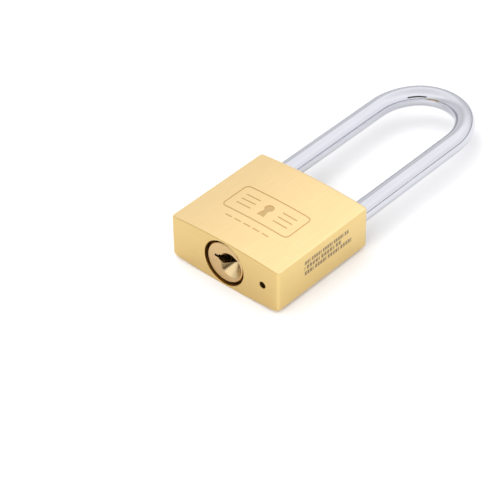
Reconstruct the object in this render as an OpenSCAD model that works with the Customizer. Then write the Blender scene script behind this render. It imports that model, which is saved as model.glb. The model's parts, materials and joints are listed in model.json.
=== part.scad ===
// Long-shackle padlock, 40 mm class: solid cambered body, five-pin plug, two bolts.
// Lock coordinates used by every part: X across the front face, Y from the keyway
// end towards the shackle end, Z out of the front face, Z = 0 at mid thickness.

/* [Body] */
// Width across the front face
body_width = 40; // [38:0.5:46]
// Length from the keyway end to the shackle end
body_length = 39; // [37:0.5:46]
// Thickness measured at the sides
side_thickness = 13.7; // [13.5:0.1:16]
// Rise of the front and back faces at their middle
camber = 1; // [0.8:0.1:1.6]
// Bevel of the four edges along the thickness
corner_bevel = 0.9; // [0.3:0.1:2]
// Bevel of the long edges beside the front and back faces
side_bevel = 0.5; // [0.2:0.1:1]
// Bevel of the front and back edges at the keyway end
key_end_bevel = 0.3; // [0.1:0.05:0.35]
// Bevel of the front and back edges at the shackle end
shackle_end_bevel = 0.9; // [0.3:0.1:1.2]
// Depth of the engraved lines on the front face
engraving_depth = 0.1; // [0.05:0.05:0.3]
// Width of the engraved lines
engraving_line = 0.4; // [0.3:0.05:0.8]

/* [Shackle] */
// Diameter of the shackle rod
shackle_d = 6.4; // [6:0.1:6.5]
// Distance between the two leg centres
leg_spacing = 28.6; // [28.4:0.1:29]
// Straight length of the legs above the body
straight_length = 46.9; // [20:0.5:80]
// Height of the arch's centre line above the straight legs
arch_height = 16.9; // [15:0.1:18]
// Centre line radius of the arch's top arc
arch_top_r = 13; // [11:0.1:13]
// Depth of the toe leg in the body
toe_depth = 12.5; // [11.5:0.1:12.8]
// Depth of the heel leg in the body
heel_depth = 28; // [27:0.5:28]
// How far the shackle rises when it opens
lift = 13.5; // [13:0.1:13.5]

/* [Plug and keyway] */
// Diameter of the cylinder plug
plug_d = 13; // [12.6:0.1:13]
// Length of the cylinder plug
plug_length = 24; // [24:0.1:24.2]
// Depth of the plug's face below the keyway end
face_recess = 0.4; // [0.2:0.1:1]
// Radius of the countersunk mouth round the plug
mouth_r = 7.4; // [7.2:0.05:7.4]
// Radius of the straight recess inside the mouth
recess_r = 7.3; // [6.8:0.05:7.3]
// Depth of that recess
recess_depth = 2.2; // [1:0.1:2.6]
// Rim radius of the key's conical lead-in
lead_in_r = 4.1; // [3.5:0.1:4.2]
// Offset of the lead-in from the plug's axis
lead_in_offset = 2.1; // [1.5:0.1:2.2]

/* [Pin stacks] */
// Number of pin stacks
stacks = 5; // [5:5]
// Distance between neighbouring stacks
pin_pitch = 3.5; // [3.2:0.1:3.5]
// Diameter of key pins and driver pins
pin_d = 2.6; // [2.2:0.1:2.6]
// Distance of the first stack from the keyway end
first_pin = 5.5; // [5:0.1:5.5]

/* [Bolts] */
// Diameter of the two bolts
bolt_d = 7; // [6.6:0.1:7]
// Distance of the bolts' axis from the shackle end
bolt_from_end = 7.5; // [7:0.1:7.5]
// How far each bolt draws back for a quarter turn
bolt_travel = 3.9; // [3.8:0.05:3.9]

/* [Hidden] */

$fn = 64;
over = 1;                  // how far a cutting shape runs past the face it opens

// Overall size
half_w = body_width / 2;
half_side = side_thickness / 2;
half_crown = half_side + camber;
crown_r = (half_w * half_w + camber * camber) / (2 * camber);
total_length = body_length + straight_length + arch_height + shackle_d / 2;

// Shackle
leg_x = leg_spacing / 2;
leg_r = shackle_d / 2;
leg_bore_r = leg_r + 0.08;
arch_side_r = (leg_x * leg_x + pow(arch_height - arch_top_r, 2) - arch_top_r * arch_top_r)
              / (2 * (leg_x - arch_top_r));
arch_turn = atan2(arch_height - arch_top_r, arch_side_r - leg_x);
heel_end = body_length - heel_depth;
toe_end = body_length - toe_depth;
spring_seat = heel_end - 5.5;
drain_r = 1.1;
leg_tip_bevel = 0.6;

// Bolts and their driver
bolt_y = body_length - bolt_from_end;
bolt_r = bolt_d / 2;
cross_bore_r = bolt_r + 0.05;
nose_r = 2.3;
nose_flat_r = 1;
bite = 1.3;                // how far a bolt's nose reaches into its leg
nose_tip = leg_x - leg_r + bite;
nose_shoulder = 9.7;       // shoulder that stops the heel bolt
toe_shank_end = 10.8;
tail_end = 0.3;
lap_end = tail_end + 2 * (bolt_travel - tail_end) + 0.1;
drive_r = bolt_travel / 2 * sqrt(2);
drive_pin_r = 0.7;
drive_pin_end = bolt_y - 0.5;
drive_slot = 2 * drive_pin_r + 0.25;
drive_slot_floor = 1;
pocket_r = 1.2;
pocket_depth = 2.7;
pocket_z = -1.8;
notch_gap = 0.25;

// Plug
plug_r = plug_d / 2;
plug_bore_r = plug_r + 0.05;
plug_end = face_recess + plug_length;
cam_end = plug_end + 2.8;
groove_y = plug_end - 2;
groove_half = 0.85;
groove_r = plug_r - 0.85;
plug_pin_r = 0.75;
plug_pin_x = -plug_bore_r;
keeper_r = 1;
keeper_x = leg_x + leg_r + 0.1;
keeper_y = bolt_y - 1.5;
keeper_flat = keeper_x - keeper_r - 0.1;
press = 0.01;              // interference of the pressed pins and plugs

// Pin stacks
pin_r = pin_d / 2;
chamber_r = pin_r + 0.06;
chamber_floor = -0.9;
key_pin_top = plug_r - 0.17;
key_pin_lengths = [4.0, 3.2, 3.7, 2.9, 3.4];
driver_tip = plug_r + 0.1;
driver_length = 3.5;
chamber_plug_in = half_w - 2.4;
flush = 0.05;              // how far a pressed plug stands below the face

brass = [0.86, 0.70, 0.38];
steel = [0.72, 0.73, 0.76];
plated = [0.82, 0.82, 0.86];

function stack_y(i) = first_pin + pin_pitch * (i - 1);

// ---- helpers ----------------------------------------------------------------

// Moves lock coordinates to the object's own frame: middle of the underside.
module place() {
    translate([0, -total_length / 2, half_crown]) children();
}

// A round rod or cone along X, Y or Z.
module x_rod(r, x0, x1, y, z = 0, tip_r = -1) {
    translate([x0, y, z]) rotate([0, 90, 0])
        cylinder(h = x1 - x0, r1 = r, r2 = tip_r < 0 ? r : tip_r);
}

module y_rod(r, y0, y1, x = 0, z = 0, tip_r = -1) {
    translate([x, y0, z]) rotate([-90, 0, 0])
        cylinder(h = y1 - y0, r1 = r, r2 = tip_r < 0 ? r : tip_r);
}

module z_rod(r, z0, z1, x, y) {
    translate([x, y, z0]) cylinder(h = z1 - z0, r = r);
}

// A box given by its two opposite corners.
module box(low, high) {
    translate(low) cube(high - low);
}

// A coil spring along +Z from z = 0: a round wire swept along a helix.
module coil(mean_r, wire_r, length, turns, steps = 14, sides = 6) {
    n = turns * steps;
    rise = length - 2 * wire_r;
    points = [for (i = [0:n], k = [0:sides - 1])
        let (a = 360 * turns * i / n, b = 360 * k / sides, r = mean_r + wire_r * cos(b))
        [r * cos(a), r * sin(a), wire_r + rise * i / n + wire_r * sin(b)]];
    walls = [for (i = [0:n - 1], k = [0:sides - 1])
        let (p = i * sides, q = p + sides, m = (k + 1) % sides)
        each [[p + k, p + m, q + m], [p + k, q + m, q + k]]];
    first_cap = [for (k = [0:sides - 1]) sides - 1 - k];
    last_cap = [for (k = [0:sides - 1]) n * sides + k];
    polyhedron(points = points, faces = concat(walls, [first_cap, last_cap]));
}

// ---- body -------------------------------------------------------------------

// One cambered face: a very large rod along Y with bevelled ends.
module crowned_rod() {
    translate([0, 0, half_crown - crown_r]) rotate([-90, 0, 0])
        rotate_extrude($fn = 720)
            polygon([[0, 0], [crown_r - key_end_bevel, 0], [crown_r, key_end_bevel],
                     [crown_r, body_length - shackle_end_bevel],
                     [crown_r - shackle_end_bevel, body_length], [0, body_length]]);
}

// Outline of the body seen from the front, corners bevelled.
module plan() {
    c = corner_bevel;
    polygon([[-half_w + c, 0], [half_w - c, 0], [half_w, c], [half_w, body_length - c],
             [half_w - c, body_length], [-half_w + c, body_length],
             [-half_w, body_length - c], [-half_w, c]]);
}

// Section of the body across its length, long edges bevelled.
module section() {
    z = half_side - side_bevel;
    k = camber + side_bevel + over;
    polygon([[half_w, -z], [half_w, z], [half_w - k, z + k], [-half_w + k, z + k],
             [-half_w, z], [-half_w, -z], [-half_w + k, -z - k], [half_w - k, -z - k]]);
}

module crowned_block() {
    intersection() {
        crowned_rod();
        mirror([0, 0, 1]) crowned_rod();
        translate([0, 0, -half_crown - over]) linear_extrude(2 * (half_crown + over)) plan();
        translate([0, body_length + over, 0]) rotate([90, 0, 0])
            linear_extrude(body_length + 2 * over) section();
    }
}

// A plain closed frame with cut corners.
module frame_outline(x, y0, y1, cut) {
    polygon([[-x + cut, y0], [x - cut, y0], [x, y0 + cut], [x, y1 - cut],
             [x - cut, y1], [-x + cut, y1], [-x, y1 - cut], [-x, y0 + cut]]);
}

// Plain generic engraving: a frame, a keyhole sign and a row of bars.
module front_marks() {
    y0 = 12.5;
    y1 = 24;
    mid = (y0 + y1) / 2;
    w = engraving_line;
    difference() {
        frame_outline(12.2, y0, y1, 1.6);
        frame_outline(12.2 - w, y0 + w, y1 - w, 1.6 - w * 0.41);
    }
    translate([0, mid + 1.2]) circle(r = 1.5);
    polygon([[-0.6, mid + 1], [0.6, mid + 1], [1.3, mid - 2.8], [-1.3, mid - 2.8]]);
    for (s = [-1, 1], k = [-1:1])
        translate([s * 6.8 - 2.6, mid + k * 2.2 - w / 2]) square([5.2, w]);
    for (k = [-2:2])
        translate([k * 3.4 - 1.2, 9.6]) square([2.4, w]);
}

module front_engraving() {
    difference() {
        translate([0, 0, half_side - over]) linear_extrude(camber + 2 * over) front_marks();
        translate([0, -over, half_crown - crown_r]) rotate([-90, 0, 0])
            cylinder(h = body_length + 2 * over, r = crown_r - engraving_depth, $fn = 720);
    }
}

module lock_body() {
    color(brass) place() difference() {
        crowned_block();
        front_engraving();
        // plug bore, its countersunk mouth and the clearance for the cam
        y_rod(plug_bore_r, -over, cam_end + 0.3);
        y_rod(mouth_r + 1, -1, mouth_r - recess_r, tip_r = recess_r);
        y_rod(recess_r, mouth_r - recess_r - 0.1, recess_depth);
        y_rod(3.8, cam_end, bolt_y - 0.2);
        // leg bores, and the drain hole under the heel leg
        y_rod(leg_bore_r, toe_end - 1.5, body_length + over, -leg_x);
        y_rod(leg_bore_r, spring_seat, body_length + over, leg_x);
        y_rod(drain_r, -over, spring_seat + over, leg_x);
        // cross bore for the bolts, stepped at the heel side
        x_rod(cross_bore_r, -half_w - over, nose_shoulder + 0.2, bolt_y);
        x_rod(nose_r + 0.1, nose_shoulder, leg_x, bolt_y);
        // pin chambers, drilled in from the side
        for (i = [1:stacks]) x_rod(chamber_r, -half_w - over, -plug_r + over, stack_y(i));
        // holes for the two retaining pins, drilled in from the back
        z_rod(plug_pin_r, -half_crown - over, 3, plug_pin_x, groove_y);
        z_rod(keeper_r, -half_crown - over, 4.5, keeper_x, keeper_y);
    }
}

module cross_bore_plug() {
    color(brass) place()
        x_rod(cross_bore_r + press, -half_w + flush, -half_w + 2.1, bolt_y);
}

module plug_retaining_pin() {
    color(steel) place()
        z_rod(plug_pin_r + press, -half_crown + 0.15, 3, plug_pin_x, groove_y);
}

module shackle_retaining_pin() {
    color(steel) place()
        z_rod(keeper_r + press, -half_side - 0.2, 4.5, keeper_x, keeper_y);
}

module chamber_plug(i) {
    color(brass) place()
        x_rod(chamber_r + press, -half_w + flush, -chamber_plug_in, stack_y(i));
}

// ---- shackle ----------------------------------------------------------------

// Half a ring of the rod about (x, y), bulging towards +Y.
module half_ring(x, y, r) {
    translate([x, y, 0]) rotate_extrude(angle = 180) translate([r, 0]) circle(r = leg_r);
}

// Everything on one side of the plane where a side arc meets the top arc.
module beside_joint(x, y, above) {
    reach = 3 * leg_spacing;
    translate([x, y, -leg_r - over]) rotate([0, 0, arch_turn])
        translate([above ? -reach : 0, above ? 0 : -reach, 0])
            cube([above ? 2 * reach : reach, reach, 2 * (leg_r + over)]);
}

// The arch's side arc over the heel leg, and its top arc.
module side_arc(y) {
    intersection() {
        half_ring(leg_x - arch_side_r, y, arch_side_r);
        beside_joint(leg_x - arch_side_r, y, false);
    }
}

module top_arc(y) {
    intersection() {
        half_ring(0, y, arch_top_r);
        beside_joint(0, y, true);
        mirror([1, 0, 0]) beside_joint(0, y, true);
    }
}

// One leg from its bevelled tip up to the start of the arch.
module leg(x, y0) {
    y_rod(leg_r, y0 + leg_tip_bevel, body_length + straight_length, x);
    y_rod(leg_r - leg_tip_bevel, y0, y0 + leg_tip_bevel, x, tip_r = leg_r);
}

// Notch for the bolt's nose. Its lower flank is a ramp that keeps clear of the
// nose while the bolt draws back in step with the rising shackle.
module notch(side) {
    slope = bolt_travel / lift;
    floor_x = nose_tip + notch_gap;
    run = 12;
    scale([side, 1, 1]) translate([0, bolt_y, -leg_r - over])
        linear_extrude(2 * (leg_r + over))
            polygon([[leg_x - leg_r - over, -nose_flat_r - run],
                     [floor_x - slope * run, -nose_flat_r - run],
                     [floor_x, -nose_flat_r], [floor_x, 1.2],
                     [leg_x - leg_r - over, floor_x - leg_x + leg_r + over + 1.2]]);
}

module shackle() {
    y1 = body_length + straight_length;
    color(plated) place() difference() {
        union() {
            leg(-leg_x, toe_end);
            leg(leg_x, heel_end);
            side_arc(y1);
            mirror([1, 0, 0]) side_arc(y1);
            top_arc(y1 + arch_height - arch_top_r);
        }
        notch(1);
        notch(-1);
        // flat along the heel leg: it slides past the retaining pin and stops on it
        box([keeper_flat, keeper_y - keeper_r - 0.1 - lift, -leg_r - over],
            [leg_x + leg_r + over, keeper_y + keeper_r + 0.2, leg_r + over]);
    }
}

module ejector_spring() {
    color(steel) place() translate([leg_x, spring_seat, 0]) rotate([-90, 0, 0])
        coil(2.5, 0.35, heel_end - spring_seat, 6, steps = 18);
}

// ---- plug -------------------------------------------------------------------

// Section of the keyway, stepped on both sides.
module keyway_section() {
    polygon([[-3.7, 0.65], [-2.4, 0.65], [-1.9, 0], [-1.2, -1.2], [2.8, -1.2], [3.4, 0.3],
             [5.0, 0.4], [5.0, 2.0], [0.4, 2.1], [-1.9, 2.1], [-2.4, 1.55], [-3.7, 1.55]]);
}

module cylinder_plug() {
    color(brass) place() difference() {
        union() {
            y_rod(plug_r - 0.35, face_recess, face_recess + 0.35, tip_r = plug_r);
            y_rod(plug_r, face_recess + 0.35, plug_end);
        }
        // conical lead-in and keyway
        y_rod(lead_in_r + 0.78, face_recess - 1, face_recess + 3.6, lead_in_offset, tip_r = lead_in_r - 2.808);
        translate([0, groove_y - 1.2, 0]) rotate([90, 0, 0])
            linear_extrude(groove_y - 1.2 + over) keyway_section();
        for (i = [1:stacks]) x_rod(chamber_r, -plug_r - over, chamber_floor, stack_y(i));
        // groove for the retaining pin
        difference() {
            y_rod(plug_r + over, groove_y - groove_half, groove_y + groove_half);
            y_rod(groove_r, groove_y - 2, groove_y + 2);
        }
        // slot for the cam's tongue
        box([-4, plug_end - 1.4, -1.1], [4, plug_end + over, 1.1]);
    }
}

module drive_cam() {
    color(steel) place() {
        y_rod(plug_r - 0.5, plug_end + 0.02, cam_end);
        box([-3.97, plug_end - 1.38, -1.07], [3.97, plug_end + 0.3, 1.07]);
        for (s = [-1, 1])
            y_rod(drive_pin_r, cam_end - 0.2, drive_pin_end,
                  s * drive_r * cos(45), -s * drive_r * sin(45));
    }
}

// ---- bolts ------------------------------------------------------------------

// A bolt on the +X side. Its tail is cut to the lower half so that the two tails
// lie on each other; a slot in the tail takes the cam's pin.
module bolt(shank_end) {
    difference() {
        union() {
            x_rod(bolt_r, tail_end, shank_end, bolt_y);
            x_rod(nose_r, shank_end - 0.2, nose_tip - bite, bolt_y);
            x_rod(nose_r, nose_tip - bite, nose_tip, bolt_y, tip_r = nose_flat_r);
        }
        box([tail_end - over, bolt_y - bolt_r - over, -0.05],
            [lap_end, bolt_y + bolt_r + over, bolt_r + over]);
        box([bolt_travel / 2 - drive_slot / 2, bolt_y - bolt_r - over, -bolt_r - over],
            [bolt_travel / 2 + drive_slot / 2, bolt_y + 0.6, -drive_slot_floor]);
    }
}

module heel_bolt() {
    color(steel) place() bolt(nose_shoulder);
}

module toe_bolt() {
    color(steel) place() difference() {
        rotate([0, 180, 0]) bolt(toe_shank_end);
        x_rod(pocket_r, -lap_end - pocket_depth, -lap_end + over, bolt_y, pocket_z);
    }
}

module bolt_spring() {
    color(steel) place() translate([-lap_end - pocket_depth, bolt_y, pocket_z]) rotate([0, 90, 0])
        coil(0.85, 0.15, lap_end + pocket_depth + tail_end, 9);
}

// ---- pin stacks -------------------------------------------------------------

module key_pin(i) {
    tip = key_pin_top - key_pin_lengths[i - 1];
    color(brass) place() {
        x_rod(pin_r, -key_pin_top, -tip - 0.7, stack_y(i));
        x_rod(pin_r, -tip - 0.7, -tip, stack_y(i), tip_r = 0.5);
    }
}

module driver_pin(i) {
    color(brass) place() x_rod(pin_r, -driver_tip - driver_length, -driver_tip, stack_y(i));
}

module driver_spring(i) {
    color(steel) place() translate([-chamber_plug_in, stack_y(i), 0]) rotate([0, 90, 0])
        coil(1, 0.16, chamber_plug_in - driver_tip - driver_length, 6, steps = 12);
}

// ---- assembly ---------------------------------------------------------------

lock_body();
cross_bore_plug();
plug_retaining_pin();
shackle_retaining_pin();
shackle();
ejector_spring();
cylinder_plug();
drive_cam();
heel_bolt();
toe_bolt();
bolt_spring();
key_pin(1);  // key_pin_1
key_pin(2);  // key_pin_2
key_pin(3);  // key_pin_3
key_pin(4);  // key_pin_4
key_pin(5);  // key_pin_5
driver_pin(1);  // driver_pin_1
driver_pin(2);  // driver_pin_2
driver_pin(3);  // driver_pin_3
driver_pin(4);  // driver_pin_4
driver_pin(5);  // driver_pin_5
driver_spring(1);  // driver_spring_1
driver_spring(2);  // driver_spring_2
driver_spring(3);  // driver_spring_3
driver_spring(4);  // driver_spring_4
driver_spring(5);  // driver_spring_5
chamber_plug(1);  // chamber_plug_1
chamber_plug(2);  // chamber_plug_2
chamber_plug(3);  // chamber_plug_3
chamber_plug(4);  // chamber_plug_4
chamber_plug(5);  // chamber_plug_5
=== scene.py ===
# %% [markdown]
# # A long-shackle padlock, lying on its back
#
# The lock is a solid brass block with a slightly crowned front and back. A round
# plug sits in one end, and a long plated shackle goes into the other. This lesson
# starts from the finished CAD frame, keeps every size that the frame gives, and
# then makes each visible surface the way its maker would: the block, the rod, the
# plug, the pressed-in plugs, the springs, and last the studio around them.

# %% Load the frame
import json
import math

import bmesh
import bpy
from mathutils import Matrix, Vector


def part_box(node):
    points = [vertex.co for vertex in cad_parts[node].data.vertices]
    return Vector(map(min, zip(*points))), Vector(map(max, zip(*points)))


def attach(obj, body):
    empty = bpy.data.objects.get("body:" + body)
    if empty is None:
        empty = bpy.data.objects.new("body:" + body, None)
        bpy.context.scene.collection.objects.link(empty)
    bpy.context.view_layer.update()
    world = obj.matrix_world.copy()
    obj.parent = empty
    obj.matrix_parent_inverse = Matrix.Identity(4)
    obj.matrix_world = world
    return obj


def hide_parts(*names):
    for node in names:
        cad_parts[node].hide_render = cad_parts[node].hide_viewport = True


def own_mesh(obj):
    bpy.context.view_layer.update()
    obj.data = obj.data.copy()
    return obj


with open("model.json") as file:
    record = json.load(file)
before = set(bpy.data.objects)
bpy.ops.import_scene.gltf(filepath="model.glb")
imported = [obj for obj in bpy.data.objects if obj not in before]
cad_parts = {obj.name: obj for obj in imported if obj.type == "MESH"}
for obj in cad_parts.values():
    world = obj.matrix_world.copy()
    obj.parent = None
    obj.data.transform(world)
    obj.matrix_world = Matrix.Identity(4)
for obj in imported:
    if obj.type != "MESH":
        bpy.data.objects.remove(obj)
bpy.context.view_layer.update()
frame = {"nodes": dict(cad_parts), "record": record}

# %% [markdown]
# ## Sizes
#
# A lockmaker dimensions everything from the keyway end of the block and from its
# mid thickness. The same is done here: a point is given in millimetres as
# (across, from the keyway end, above mid thickness), and one function moves it to
# the frame. The overall sizes are read back from the CAD pieces, so the looks can't
# drift away from the mechanism.

# %% Sizes in millimetres
MM = 0.001
body_low, body_high = (Vector(corner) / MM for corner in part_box("lock_body"))
rod_low, rod_high = (Vector(corner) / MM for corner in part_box("shackle"))

HALF_WIDTH = body_high.x
LENGTH = body_high.y - body_low.y
HALF_CROWN = (body_high.z - body_low.z) / 2
CAMBER = 1.0
HALF_SIDE = HALF_CROWN - CAMBER
ROD_R = (rod_high.z - rod_low.z) / 2
LEG_X = rod_high.x - ROD_R
ROD_TOP = rod_high.y - body_low.y
ARCH_HEIGHT = 16.9
ARCH_TOP_R = 13.0
STRAIGHT_END = ROD_TOP - ROD_R - ARCH_HEIGHT
HEEL_TIP = rod_low.y - body_low.y
TOE_TIP = HEEL_TIP + 15.5
BOLT_Y = LENGTH - 7.5
PLUG_R = 6.5
PLUG_FACE = 0.4
PLUG_END = 24.4
PIN_PITCH = 3.5
STACKS = [5.5 + PIN_PITCH * i for i in range(5)]
CHAMBER_R = 1.36
CROSS_BORE_R = 3.55
SPRING_SEAT = 5.5
MID = (body_low.z + body_high.z) / 2


def in_frame(x, y, z):
    """A point in lock coordinates, in millimetres, as a point of the frame."""
    return Vector((x, y + body_low.y, z + MID)) * MM


print("width %.1f length %.1f thickness %.1f rod %.1f mm" % (
    2 * HALF_WIDTH, LENGTH, 2 * HALF_CROWN, 2 * ROD_R))

# %% [markdown]
# ## From points to pieces
#
# Every hand-made mesh goes through one helper that places its points in the frame,
# turns all faces outwards and marks the creases sharp by their angle. A turned part
# or a drilled hole is a lathe profile, so a second helper spins a profile of
# (radius, distance) pairs about a line along X, Y or Z.

# %% Mesh helpers
def mesh_piece(name, points, faces, sharp_deg=32):
    """A closed mesh from lock coordinates, with outward faces."""
    mesh = bpy.data.meshes.new(name)
    mesh.from_pydata([in_frame(*p) for p in points], [], faces)
    finish_mesh(mesh, sharp_deg)
    piece = bpy.data.objects.new(name, mesh)
    bpy.context.scene.collection.objects.link(piece)
    return piece


def finish_mesh(mesh, sharp_deg=32):
    """Merges doubles, turns the faces outwards and shades smooth up to an angle."""
    work = bmesh.new()
    work.from_mesh(mesh)
    bmesh.ops.remove_doubles(work, verts=work.verts, dist=2e-6)
    bmesh.ops.recalc_face_normals(work, faces=work.faces)
    for face in work.faces:
        face.smooth = True
    limit = math.radians(sharp_deg)
    for edge in work.edges:
        edge.smooth = len(edge.link_faces) == 2 and edge.calc_face_angle(0) < limit
    work.to_mesh(mesh)
    work.free()


AXES = {
    "x": lambda r, a, t, c: (t, c[0] + r * math.cos(a), c[1] + r * math.sin(a)),
    "y": lambda r, a, t, c: (c[0] + r * math.cos(a), t, c[1] + r * math.sin(a)),
    "z": lambda r, a, t, c: (c[0] + r * math.cos(a), c[1] + r * math.sin(a), t),
}


def turned(name, profile, axis="y", centre=(0, 0), steps=96):
    """A lathe profile of (radius, distance) pairs, from axis to axis, spun about a line."""
    points, rings, faces = [], [], []
    for r, t in profile:
        count = 1 if r == 0 else steps
        rings.append(range(len(points), len(points) + count))
        points += [AXES[axis](r, 2 * math.pi * k / steps, t, centre) for k in range(count)]
    for low, high in zip(rings, rings[1:]):
        for k in range(steps):
            ring = [low[k % len(low)], low[(k + 1) % len(low)],
                    high[(k + 1) % len(high)], high[k % len(high)]]
            faces.append(list(dict.fromkeys(ring)))
    return mesh_piece(name, points, [f for f in faces if len(f) > 2])


def prism(name, outline, low, high, plane="xz"):
    """A closed outline pushed from low to high; low and high may be functions of the point."""
    low = low if callable(low) else (lambda a, b, value=low: value)
    high = high if callable(high) else (lambda a, b, value=high: value)
    place = {"xz": lambda a, b, t: (a, t, b), "xy": lambda a, b, t: (a, b, t)}[plane]
    n = len(outline)
    points = [place(a, b, low(a, b)) for a, b in outline]
    points += [place(a, b, high(a, b)) for a, b in outline]
    faces = [list(range(n)), list(range(2 * n - 1, n - 1, -1))]
    faces += [[k, (k + 1) % n, n + (k + 1) % n, n + k] for k in range(n)]
    return mesh_piece(name, points, faces)


def cut_away(piece, *cutters):
    """Removes the cutters from a piece, one exact cut each, and deletes them."""
    for cutter in cutters:
        cut = piece.modifiers.new("cut", "BOOLEAN")
        cut.operation, cut.solver, cut.object = "DIFFERENCE", "EXACT", cutter
    plain = bpy.data.meshes.new_from_object(
        piece.evaluated_get(bpy.context.evaluated_depsgraph_get()))
    piece.modifiers.clear()
    piece.data = plain
    plain.name = piece.name
    finish_mesh(plain)
    for cutter in cutters:
        bpy.data.objects.remove(cutter)
    return piece


# %% [markdown]
# ## The block
#
# The real block is cut from a drawn brass bar, so its section is the same all the
# way along and only its two ends are worked. It is made the same way: one section
# with crowned faces and softly rounded long edges, repeated along the length, and
# drawn in near each end so that every end edge gets its own small radius. The ends
# are drawn in more at the corners than at the front and back, as on the real one.

# %% Loft the block
LONG_EDGE_R = 0.8
CORNER_R = 1.25
KEY_EDGE_R = 0.3
SHACKLE_EDGE_R = 0.95


def crown(x):
    """Height of the front face above mid thickness at a distance across."""
    return HALF_SIDE + CAMBER * (1 - (x / HALF_WIDTH) ** 2)


def round_in(depth, radius):
    """How far a rounded edge stands in at a depth below the end face."""
    short = max(radius - depth, 0)
    return radius - math.sqrt(radius * radius - short * short)


def block_section(narrow, thin):
    """The section's outline, drawn in by narrow at the sides and thin at the faces."""
    half = HALF_WIDTH - narrow
    flat_end = half - LONG_EDGE_R
    z_end = crown(flat_end) - thin - LONG_EDGE_R
    quarter = [(flat_end * k / 24, crown(flat_end * k / 24) - thin) for k in range(25)]
    quarter += [(flat_end + LONG_EDGE_R * math.sin(a), z_end + LONG_EDGE_R * math.cos(a))
                for a in (math.radians(11.25 * k) for k in range(1, 9))]
    quarter += [(half, z_end * k / 3) for k in (2, 1)]
    right = quarter + [(half, 0)] + [(x, -z) for x, z in reversed(quarter)]
    return right + [(-x, z) for x, z in reversed(right[1:-1])]


depths = sorted({CORNER_R * (1 - math.cos(math.radians(10 * k))) for k in range(10)}
                | {KEY_EDGE_R * (1 - math.cos(math.radians(18 * k))) for k in range(6)})
top_depths = sorted({CORNER_R * (1 - math.cos(math.radians(10 * k))) for k in range(10)}
                    | {SHACKLE_EDGE_R * (1 - math.cos(math.radians(12 * k))) for k in range(8)})
rings = [(d, round_in(d, CORNER_R), round_in(d, KEY_EDGE_R)) for d in depths]
rings += [(LENGTH - d, round_in(d, CORNER_R), round_in(d, SHACKLE_EDGE_R))
          for d in reversed(top_depths)]

block_points, block_faces = [], []
for y, narrow, thin in rings:
    block_points += [(x, y, z) for x, z in block_section(narrow, thin)]
around = len(block_points) // len(rings)
for i in range(len(rings) - 1):
    for k in range(around):
        a, b = i * around, (i + 1) * around
        block_faces.append([a + k, a + (k + 1) % around, b + (k + 1) % around, b + k])
block_faces.append(list(range(around)))
block_faces.append([(len(rings) - 1) * around + k for k in reversed(range(around))])
block = mesh_piece("brass_block", block_points, block_faces)
print("block loft:", len(block_points), "points,", len(rings), "rings")

# %% [markdown]
# ## Holes in the block
#
# The real holes are drilled and bored, so each one is a lathe profile: the stepped
# plug bore with its countersunk mouth, the two leg bores with a broken edge, the
# small drain hole under the heel leg, the cross bore for the bolts, the five pin
# chambers and the two holes for the retaining pins. An exact boolean takes them out
# in turn. All but the two pin holes get a small countersink in their own cutter,
# because a real edge is never perfectly sharp, and the thin bright line on it is what
# shows a hole to be cut in metal.

# %% Drill the block
OVER = 1.0  # how far a cutter runs past the face it opens
BORE_R = PLUG_R + 0.05
MOUTH_R, RECESS_R, RECESS_DEPTH = 7.4, 7.3, 2.2
CAM_ROOM_END = 27.5
DRIVE_PIN_ROOM_R = 3.8
LEG_BORE_R = ROD_R + 0.08
DRAIN_R = 1.1
NOSE_BORE_R, NOSE_BORE_X = 2.4, 9.9
plug_bore = turned("cut_plug_bore", [
    (0, -OVER), (MOUTH_R + OVER, -OVER), (RECESS_R, MOUTH_R - RECESS_R), (RECESS_R, RECESS_DEPTH),
    (BORE_R, RECESS_DEPTH), (BORE_R, CAM_ROOM_END), (DRIVE_PIN_ROOM_R, CAM_ROOM_END),
    (DRIVE_PIN_ROOM_R, BOLT_Y - 0.2), (0, BOLT_Y - 0.2)], steps=160)
leg_mouth = [(LEG_BORE_R, LENGTH - 0.2), (LEG_BORE_R + 1.2, LENGTH + OVER), (0, LENGTH + OVER)]
toe_bore = turned("cut_toe_bore", [
    (0, TOE_TIP - 1.5), (LEG_BORE_R, TOE_TIP - 1.5)] + leg_mouth, centre=(-LEG_X, 0))
heel_bore = turned("cut_heel_bore", [
    (0, -OVER), (DRAIN_R + 1.06, -OVER), (DRAIN_R, 0.06), (DRAIN_R, SPRING_SEAT),
    (LEG_BORE_R, SPRING_SEAT)] + leg_mouth, centre=(LEG_X, 0), steps=72)


def side_hole(name, place, radius, rim_r, rest, steps):
    """A hole drilled in from the left side, with a broken edge; rest goes on from its wall."""
    face = -HALF_WIDTH
    return turned(name, [(0, face - OVER), (rim_r, face - OVER), (rim_r, face - 0.05),
                         (radius, face + 0.1)] + rest, axis="x", centre=(place, 0), steps=steps)


cross_bore = side_hole("cut_cross_bore", BOLT_Y, CROSS_BORE_R, 3.7, [
    (CROSS_BORE_R, NOSE_BORE_X), (NOSE_BORE_R, NOSE_BORE_X), (NOSE_BORE_R, LEG_X),
    (0, LEG_X)], steps=72)
chambers = [side_hole("cut_chamber", y, CHAMBER_R, 1.5, [
    (CHAMBER_R, 1 - PLUG_R), (0, 1 - PLUG_R)], steps=40) for y in STACKS]
PIN_HOLES = ((-BORE_R, 22.4, 0.75, 3), (17.6, 30, 1.0, 4.5))  # across, along, radius, top
pin_holes = [turned("cut_pin_hole", [(0, -9), (r, -9), (r, top), (0, top)],
                    axis="z", centre=(x, y), steps=40) for x, y, r, top in PIN_HOLES]
cut_away(block, plug_bore, toe_bore, heel_bore, cross_bore, *chambers, *pin_holes)
print("drilled block:", len(block.data.polygons), "faces")

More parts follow.
